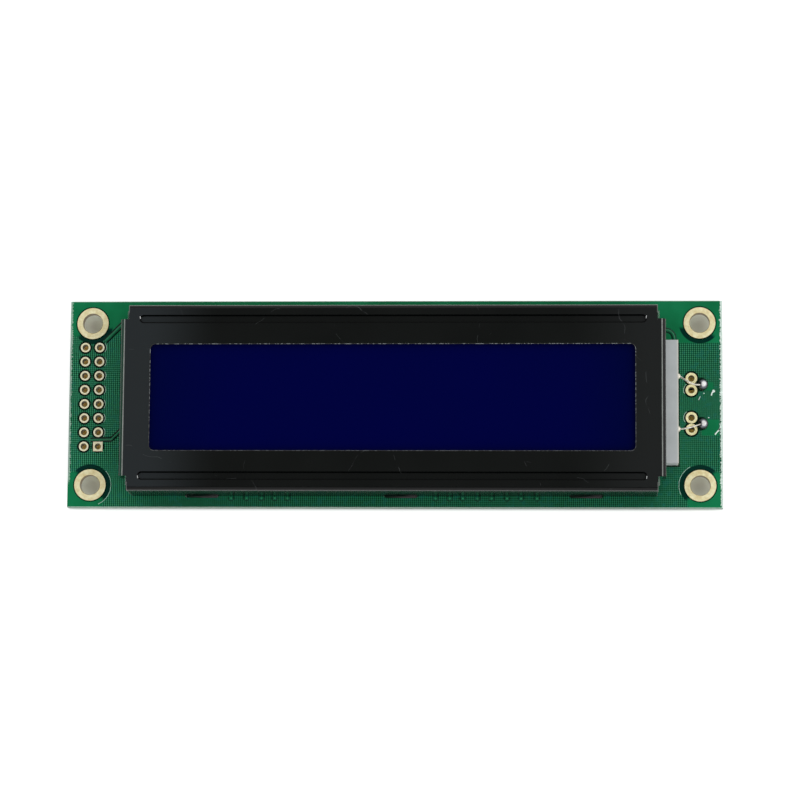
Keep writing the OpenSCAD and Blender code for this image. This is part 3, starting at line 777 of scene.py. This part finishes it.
ribbon_tree, given = start_tree("ribbon", {
    "Width": "NodeSocketFloat", "Thickness": "NodeSocketFloat", "Bend": "NodeSocketFloat",
    "Material": "NodeSocketMaterial"})
curve = add(ribbon_tree, "GeometryNodeMeshToCurve", {0: given["Geometry"]}).outputs[0]
rounded = add(ribbon_tree, "GeometryNodeFilletCurve", {0: curve}, mode="POLY")
feed(rounded.inputs["Radius"], given["Bend"])
feed(rounded.inputs["Limit Radius"], True)
feed(rounded.inputs["Count"], 4)
upright = add(ribbon_tree, "GeometryNodeSetCurveNormal", {0: rounded.outputs[0]}, mode="Z_UP")
profile = add(ribbon_tree, "GeometryNodeCurvePrimitiveQuadrilateral",
              {"Width": given["Width"], "Height": given["Thickness"]})
swept = add(ribbon_tree, "GeometryNodeCurveToMesh",
            {0: upright.outputs[0], 1: profile.outputs[0], "Fill Caps": True})
end_tree(ribbon_tree, swept.outputs[0], given["Material"])


# %% Run a tree and keep its result as a plain mesh
def grow(name, tree, points, edges, sizes):
    """Runs a tree on points and edges in millimetres. Sizes are in the tree's own units."""
    start = bpy.data.meshes.new(name)
    start.from_pydata([Vector(p) * MM for p in points], edges, [])
    piece = bpy.data.objects.new(name, start)
    bpy.context.scene.collection.objects.link(piece)
    modifier = piece.modifiers.new("Grow", "NODES")
    modifier.node_group = tree
    for socket in tree.interface.items_tree:
        if socket.in_out == "INPUT" and socket.name in sizes:
            modifier[socket.identifier] = sizes[socket.name]
    shape = piece.evaluated_get(bpy.context.evaluated_depsgraph_get())
    result = bpy.data.meshes.new_from_object(shape)
    piece.modifiers.clear()
    piece.data = result
    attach(piece, ROOT)
    tall = max((v.co.z for v in result.vertices), default=0) / MM
    print(name, len(result.polygons), "faces, highest point", round(tall, 3), "mm")
    return piece


def chain(paths, z):
    """Points and edges of several paths, all at the height z."""
    points, edges = [], []
    for path in paths:
        edges += [(len(points) + k, len(points) + k + 1) for k in range(len(path) - 1)]
        points += [(x, y, z) for x, y in path]
    return points, edges


def lay_ribbons(name, paths, z, width, thickness, finish, bend=0.3):
    """Flat ribbons along paths, with their middle at the height z, all in millimetres."""
    points, edges = chain(paths, z)
    sizes = {"Width": width * MM, "Thickness": thickness * MM, "Bend": bend * MM,
             "Material": finish}
    return grow(name, ribbon_tree, points, edges, sizes)


# %% Lacquer over a track and over a bare gap
track_green = cast_finish("mask_over_track", "#0a6340", "#1a7a50", 1.2, 0.26, 0.01,
                          Specular_IOR_Level=0.3)
gap_green = cast_finish("mask_over_gap", "#00180f", "#002a1e", 1.2, 0.26, 0.01,
                        Specular_IOR_Level=0.12)
rear_green = cast_finish("mask_over_rear_track", "#1c7d50", "#2b9465", 1.2, 0.26, 0.01,
                         Specular_IOR_Level=0.3)
drop_green = cast_finish("mask_round_vias", "#03261a", "#0b4a33", 0.5, 0.26, 0.01,
                         Specular_IOR_Level=0.12)
GAP_THICK, TRACK_THICK, TRACK_LIFT = 0.012, 0.03, 0.01
front_z, rear_z = board_top + GAP_THICK / 2, board_low.z - GAP_THICK / 2


def lay_track(gap_name, track_name, paths, gap_width, track_width, gap_finish=gap_green,
              rear=False, bend=0.3):
    """Tracks on the front or the rear, on the wider bare gaps that they run through."""
    front = front_z, TRACK_LIFT, track_green
    z, lift, finish = (rear_z, -TRACK_LIFT, rear_green) if rear else front
    lay_ribbons(gap_name, paths, z, gap_width, GAP_THICK, gap_finish, bend=bend)
    lay_ribbons(track_name, paths, z + lift, track_width, TRACK_THICK, finish, bend=bend)


def arc(centre, radius, start, end, steps=20):
    """Points on a part of a circle, with angles in degrees."""
    angles = [math.radians(start + (end - start) * k / steps) for k in range(steps + 1)]
    return [(centre[0] + radius * math.cos(a), centre[1] + radius * math.sin(a)) for a in angles]


# %% Tracks on the front
inner_x, outer_x = pin_columns[1], pin_columns[0]
lane_y = (pin_rows[0] + pin_rows[1]) / 2
wide_paths = [[(inner_x + 0.95, pin_rows[-1] + 1.1), (inner_x + 4.3, pin_rows[-1] + 4.45)]]
thin_paths = [[(outer_x + 1.2, lane_y - 0.1), (inner_x + 2.4, lane_y),
               (inner_x + 4.2, lane_y + 1.8)]]
curved_paths = [[(47.2, 13.2)] + arc((48.0, 11.7), 1.5, 90, 0, 10) + [(49.5, 11.0)]]
lay_track("front_wide_gap", "front_wide_track", wide_paths, 1.0, 0.5)
lay_track("front_thin_gaps", "front_thin_tracks", thin_paths, 0.85, 0.32)
lay_track("front_curved_gap", "front_curved_track", curved_paths, 0.9, 0.4, drop_green, bend=0.0)

# %% Tented vias along the lower edge, each in a gap shaped like a drop
VIA_ROW = board_low.y + 1.7
DROP_RADIUS, DROP_HEIGHT = 0.5, 1.2
via_places = [-28.8, -26.1, -23.4, -21.1, -18.8, 7.4, 9.9, 12.2, 14.8, 17.3, 20.0, 22.5, 25.3]


def drop(x, y, radius, top):
    """Outline of a drop with its point at the height top."""
    return [(x, top)] + arc((x, y), radius, 150, 390, 12) + [(x, top)]


drops = [drop(x, VIA_ROW, DROP_RADIUS, VIA_ROW + DROP_HEIGHT) for x in via_places]
lay_ribbons("via_gaps", drops, front_z, 0.15, GAP_THICK, drop_green, bend=0.05)

# %% [markdown]
# ## Rings on points
# A via is a small plated hole under the lacquer and shows as a low ring. There are dozens, all
# alike, so a second tree sets one ring on each point it is given. Its sizes are inputs, because
# the vias on the rear are larger.

# %% The ring tree
ring_tree, given = start_tree("rings", {
    "Radius": "NodeSocketFloat", "Wall": "NodeSocketFloat", "Material": "NodeSocketMaterial"})
circle = add(ring_tree, "GeometryNodeCurvePrimitiveCircle",
             {"Resolution": 12, "Radius": given["Radius"]})
section = add(ring_tree, "GeometryNodeCurvePrimitiveCircle",
              {"Resolution": 6, "Radius": given["Wall"]})
one_ring = add(ring_tree, "GeometryNodeCurveToMesh",
               {0: circle.outputs[0], 1: section.outputs[0]}).outputs[0]
flattened = add(ring_tree, "GeometryNodeTransform", {0: one_ring, "Scale": (1, 1, 0.35)})
placed = add(ring_tree, "GeometryNodeInstanceOnPoints",
             {"Points": given["Geometry"], "Instance": flattened.outputs[0]})
end_tree(ring_tree, placed.outputs[0], given["Material"])


def lay_rings(name, places, z, radius, wall, finish):
    """A low ring at each place, in millimetres."""
    points = [(x, y, z) for x, y in places]
    sizes = {"Radius": radius * MM, "Wall": wall * MM, "Material": finish}
    return grow(name, ring_tree, points, [], sizes)


front_vias = [(x, VIA_ROW) for x in via_places]
lay_rings("front_vias", front_vias, front_z, 0.1, 0.1, rear_green)

# %% [markdown]
# ## Fine light lines
# Where the lacquer steps down at the rim of a gap it catches the light as a hair-thin arc, drawn
# here as a painted highlight. A few chips of resin and lint also lie near the right-hand end. Both
# are ribbons again, only thinner and paler.

# %% Arcs at the rims of the gaps
# painted highlight: pale arcs along the rims of the gaps
rim_light = cast_finish("lacquer_rim_glint", "#74b699", "#d4f0e2", 0.5, 0.2, 0.01)
RIM_OUT = PAD_GAP + 0.04
ring_rim = ring_radius + WIDE_GAP
spare_y = spare_middle.y - spare_sizes["spacing_y_mm"] / 2
glints = [
    arc((-corner_x, -corner_y), ring_rim + 0.06, -66, 42),
    arc((corner_x, -corner_y), ring_rim + 0.1, 118, 205),
    arc((spare_middle.x, spare_y), spare_radius + RIM_OUT, 130, 205, 8),
    arc((spare_middle.x, -spare_y), spare_radius + RIM_OUT, 130, 215, 8),
]
glints += [arc((inner_x, y), pad_radius + RIM_OUT, -38, 38, 8) for y in pin_rows[1:]]
lay_ribbons("rim_glints", glints, board_top + 0.004, 0.08, 0.02, rim_light, bend=0.05)

# %% Chips of resin near the right-hand edge
pale_chip = cast_finish("pale_chips", "#c8f0de", "#ffffff", 0.3, 0.5, 0.01)
chips = [
    [(56.56, 2.3), (56.36, 2.24), (56.12, 1.98), (55.98, 1.5)],
    [(57.62, -3.9), (57.45, -4.5), (57.0, -4.95), (56.6, -5.45)],
    [(57.62, -4.3), (57.3, -4.75)],
]
lay_ribbons("resin_chips", chips, board_top + 0.02, 0.24, 0.05, pale_chip, bend=0.1)
lint = [[(54.04, 1.36), (53.9, 1.0), (53.74, 0.7)]]
lay_ribbons("lint", lint, board_top + 0.02, 0.1, 0.04, pale_chip, bend=0.1)
lay_rings("resin_drops", [(56.4, 2.3), (57.72, 2.05)], board_top + 0.01, 0.12, 0.14, pale_chip)
lay_rings("resin_dots", [(54.7, 1.9), (55.5, -2.44)], board_top + 0.01, 0.05, 0.06, pale_chip)

# %% [markdown]
# ## The bare edge of the window
# The window is punched after the sheet is coated, so its cut edge shows bare metal that the light
# picks out as a thin broken line, drawn here as bare steel and partly as a painted highlight. The
# ribbon tree lays this too, along a rounded rectangle. At the ends of the pressed grooves, short
# bright strips are painted as highlights.

# %% Broken edge of bare steel, partly a painted highlight
def bare_edge_and_highlight_finish():
    """Black coat with chips of bare steel, more of them on the upper edge, partly a painted
    highlight of the cut edge.
    """
    finish, shader, spot = start_finish("bare_cut_edge", Roughness=0.4)
    chips = spots(spot, 0.5, 2.6)
    upper = fade(split(spot)[1], -9.5, 8.0, 0.25, 0.85)
    bare = times(fade(chips, 0.5, 0.62), upper)
    paint(shader, Base_Color=blend(bare, "#07080a", "#7d8284"), Metallic=times(bare, 0.4))
    raise_surface(shader, chips, 0.01)
    return finish


def rounded_outline(half_x, half_y, radius):
    """Closed path round a rectangle with round corners."""
    x, y = half_x - radius, half_y - radius
    path = (arc((x, y), radius, 0, 90, 6) + arc((-x, y), radius, 90, 180, 6)
            + arc((-x, -y), radius, 180, 270, 6) + arc((x, -y), radius, 270, 360, 6))
    return path + path[:1]


WINDOW_X, WINDOW_Y, WINDOW_ROUND = 42.5, 9.4, 0.9
EDGE_OUT, EDGE_WIDTH, EDGE_THICK = 0.03, 0.12, 0.01
edge_path = rounded_outline(WINDOW_X + EDGE_OUT, WINDOW_Y + EDGE_OUT, WINDOW_ROUND)
lay_ribbons("window_edge", [edge_path], bezel_high.z + 0.002, EDGE_WIDTH, EDGE_THICK,
            bare_edge_and_highlight_finish(), bend=0.0)

# %% Painted highlights at the ends of the grooves
GROOVE_X, GROOVE_Y = 44.35, 14.1
# painted highlight: a short bright steel strip at each end of the pressed grooves
groove_end_highlight = metal_finish("rubbed_steel", "#a5a8a8", "#e6e8e8", 0.3, 0.3, 0.5)
groove_ends = [[(side * GROOVE_X, y - 0.22), (side * (GROOVE_X + 0.07), y + 0.24)]
               for side in (-1, 1) for y in (-GROOVE_Y, GROOVE_Y)]
lay_ribbons("groove_glints", groove_ends, bezel_high.z + 0.003, EDGE_WIDTH, EDGE_THICK,
            groove_end_highlight, bend=0.0)

# %% [markdown]
# ## The rear of the board
# Behind the board two resin caps cover the bare chips. Tracks fan out from each cap to the rows of
# contacts, and a bundle runs from the interface holes to the first cap. A fan is a rule and not
# a drawing, so each path is worked out from its number in the fan.

# %% Fans of tracks round the two caps
cap_places = [(box_mm(name)[0].x + box_mm(name)[1].x) / 2
              for name in ("controller_cap", "driver_cap")]
cap_radius = (box_mm("controller_cap")[1].x - box_mm("controller_cap")[0].x) / 2
FAN_COUNT, FAN_STEP, FAN_END = 17, 0.84, 12.6
FAN_NARROW = 0.62           # how much closer the tracks of a fan lie at the cap
FAN_STAGGER = 0.7           # every other track runs this much further
UNDER_CAP, PAST_CAP = 1.2, 0.9
rear_paths, rear_vias = [], []
for cap_x in cap_places:
    for side in (-1, 1):
        for k in range(FAN_COUNT):
            far = (k - (FAN_COUNT - 1) / 2) * FAN_STEP
            near = far * FAN_NARROW
            bend_y = cap_radius + PAST_CAP
            stop = FAN_END + (FAN_STAGGER if k % 2 else 0.0)
            rear_paths.append([(cap_x + near, side * (cap_radius - UNDER_CAP)),
                               (cap_x + near, side * bend_y),
                               (cap_x + far, side * (bend_y + abs(far - near))),
                               (cap_x + far, side * stop)])
            rear_vias.append((cap_x + far, side * stop))
print(len(rear_paths), "tracks in the fans")

# %% Tracks from the interface holes, the resistors and the lamp terminals
LANE_STEP, LANE_NARROW = 0.84, 0.42
RESISTOR_COUNT, RESISTOR_STEP, RESISTOR_END = 6, 3.0, 0.9
RESISTOR_TURN, PIN_TURN, LANE_TUCK = 4.0, 1.4, 0.6
turn_x = inner_x + PIN_TURN
for k, row in enumerate(pin_rows):
    lane = (k - (PIN_ROWS - 1) / 2) * LANE_STEP
    rear_paths.append([(inner_x + pad_radius * 0.8, row), (turn_x, row),
                       (turn_x + abs(row - lane), lane),
                       (cap_places[0] - cap_radius + LANE_TUCK, lane)])
resistor_rows = [(k - (RESISTOR_COUNT - 1) / 2) * RESISTOR_STEP for k in range(RESISTOR_COUNT)]
for row in resistor_rows:
    for side in (-1, 1):
        lane = row * LANE_NARROW
        rear_paths.append([(side * RESISTOR_END, row), (side * RESISTOR_TURN, row),
                           (side * (RESISTOR_TURN + abs(row - lane)), lane),
                           (side * (cap_places[1] - cap_radius + LANE_TUCK), lane)])
lay_track("rear_gaps", "rear_tracks", rear_paths, 0.6, 0.26, rear=True)
lamp_paths = [[(terminal_x - 1.2, side * spare_middle.y), (49.0, side * spare_middle.y),
               (46.5, side * (spare_middle.y + 2.5)), (33.0, side * (spare_middle.y + 2.5))]
              for side in (-1, 1)]
lay_track("lamp_gaps", "lamp_tracks", lamp_paths, 1.6, 1.1, rear=True)
lay_rings("rear_vias", rear_vias, rear_z - GAP_THICK, 0.22, 0.1, rear_green)

# %% White legend lines round the parts, with no lettering
legend = cast_finish("white_legend_ink", "#d5dad4", "#eef1ec", 0.5, 0.5, 0.01)


def frame_path(x, y, half_x, half_y):
    """Closed path round a rectangle."""
    return [(x - half_x, y - half_y), (x + half_x, y - half_y), (x + half_x, y + half_y),
            (x - half_x, y + half_y), (x - half_x, y - half_y)]


outlines = [arc((x, 0), cap_radius + 0.45, 0, 360, 60) for x in cap_places]
outlines += [frame_path(0, row, 1.5, 0.95) for row in resistor_rows]
cap_low, cap_high = box_mm("capacitor_bodies")
chip_x = (cap_low.x + cap_high.x) / 2
outlines += [frame_path(chip_x, side * 5.0, 2.3, 1.3) for side in (-1, 1)]
outlines.append(frame_path(interface_middle.x, interface_middle.y, 2.75, 10.3))
lay_ribbons("legend_lines", outlines, rear_z - 0.03, 0.18, 0.02, legend, bend=0.0)

# %% [markdown]
# ## Stage, light and camera
# The module lies on a plain white floor. The light comes from the whole sky as in a tent, bright
# in a broad ring and dark overhead, so that flat faces keep their deep colours while each fold
# catches a bright line. To the camera itself the sky is plain white.

# %% Floor
TAB_MIDDLE, TAB_OUTER, SLOT_HALF = 1.3, 34.0, 3.2
FLOOR_GLOW = 0.6
FLOOR_SIDE, FLOOR_DROP = 8.0, 0.0001        # in metres


def floor_finish():
    """White to the eye and in reflections, dark under the board and clear from below.

    Painted brown spots under the small plated holes show through them as a reflection of their
    plating, and painted dark spots under the slots show through as shadow.
    """
    material, shader, spot = start_finish("studio_floor", Roughness=0.9, Specular_IOR_Level=0.0)
    tree = material.node_tree
    rays = add(tree, "ShaderNodeLightPath").outputs
    seen = either(rays["Is Camera Ray"], rays["Is Glossy Ray"], rays["Is Transmission Ray"])
    covered = in_block(spot, board_low.xy, board_high.xy, 0.3)
    # painted reflection: brown discs under the small plated holes; painted shadow: dark patches
    # under the slots
    pin_hole_reflection = times(in_disc(from_pin(spot), (0, 0.3), 0.75, 0.1),
                       in_block(spot, (pin_columns[0] - 1.0, pin_rows[0] - 1.0),
                                (pin_columns[1] + 1.0, pin_rows[-1] + 1.3)))
    spare_hole_reflection = in_disc(from_spare(spot), (0.1, 0), 0.8, 0.1)
    x, y, z = split(spot)
    from_middle = folded(x, TAB_MIDDLE)
    from_outer = folded(folded(x), TAB_OUTER)
    from_slot = join(calc("MINIMUM", from_middle, from_outer), folded(y))
    slot_shadow = in_block(from_slot, (-SLOT_HALF, bezel_high.y - 1.6),
                           (SLOT_HALF, bezel_high.y + 0.3), 0.2)
    tint = blend(either(pin_hole_reflection, spare_hole_reflection), (0.8, 0.8, 0.8, 1), (0.75, 0.42, 0.14, 1))
    tint = blend(slot_shadow, tint, (0.03, 0.07, 0.05, 1))
    painted_patches = either(pin_hole_reflection, spare_hole_reflection, slot_shadow)
    glow = times(times(seen, minus(1.0, covered)), FLOOR_GLOW)
    paint(shader, Base_Color=tint, Emission_Color=(1, 1, 1, 1), Emission_Strength=glow)
    clear = add(tree, "ShaderNodeBsdfTransparent").outputs[0]
    behind = add(tree, "ShaderNodeNewGeometry").outputs["Backfacing"]
    below = calc("SUBTRACT", covered, either(painted_patches, rays["Is Camera Ray"]), clamp=True)
    passed = either(behind, rays["Is Shadow Ray"], below)
    mixed = add(tree, "ShaderNodeMixShader", {0: passed, 1: shader.outputs[0], 2: clear})
    feed(tree.nodes["Material Output"].inputs["Surface"], mixed.outputs[0])
    return material


half_side = FLOOR_SIDE / 2
floor_mesh = bpy.data.meshes.new("studio_floor")
around = ((-half_side, -half_side), (half_side, -half_side), (half_side, half_side),
          (-half_side, half_side))
floor_mesh.from_pydata([(x, y, 0) for x, y in around], [], [(0, 1, 2, 3)])
floor_mesh.materials.append(floor_finish())
floor = bpy.data.objects.new("studio_floor", floor_mesh)
bpy.context.scene.collection.objects.link(floor)
floor.location.z = cad_box[0].z - FLOOR_DROP

# %% Sky
OVERHEAD_LEVEL, HORIZON_LEVEL, BELOW_LEVEL = 0.16, 1.0, 0.7
world = bpy.data.worlds.new("studio_sky")
bpy.context.scene.world = world
world.use_nodes = True
sky = world.node_tree
x, y, z = split(add(sky, "ShaderNodeTexCoord").outputs["Generated"])
side = fade(x, -0.7, 0.7, 0.8, 1.5)
overhead = fade(z, 0.84, 0.94)
level = between(overhead, side, OVERHEAD_LEVEL)
horizon = fade(z, 0.05, 0.25, 1.0, 0.0)
level = between(horizon, level, HORIZON_LEVEL)
level = between(under(z, 0.0), level, BELOW_LEVEL)
seen = add(sky, "ShaderNodeLightPath").outputs["Is Camera Ray"]
level = between(seen, level, 1.0)
sky.nodes["Background"].inputs["Color"].default_value = (1, 1, 1, 1)
feed(sky.nodes["Background"].inputs["Strength"], level)

# %% Camera
EYE = Vector((31.0, -82.0, board_top + 590.0)) * MM
FRAME_WIDTH = 141.8 * MM
SHIFT_X, SHIFT_Y = 0.0071, 0.005
target = Vector((0, 0, board_top * MM))
camera_data = bpy.data.cameras.new("camera")
camera = bpy.data.objects.new("camera", camera_data)
bpy.context.scene.collection.objects.link(camera)
forward = (target - EYE).normalized()
right = (Vector((1, 0, 0)) - forward * forward.x).normalized()
above = right.cross(forward)
camera.matrix_world = Matrix((
    (right.x, above.x, -forward.x, EYE.x),
    (right.y, above.y, -forward.y, EYE.y),
    (right.z, above.z, -forward.z, EYE.z),
    (0, 0, 0, 1)))
camera_data.sensor_width = 36.0
camera_data.lens = camera_data.sensor_width * (target - EYE).length / FRAME_WIDTH
camera_data.shift_x, camera_data.shift_y = SHIFT_X, SHIFT_Y
bpy.context.scene.camera = camera
print("lens", round(camera_data.lens, 1), "mm")

# %% Finish
bpy.context.scene.view_settings.view_transform = "Standard"
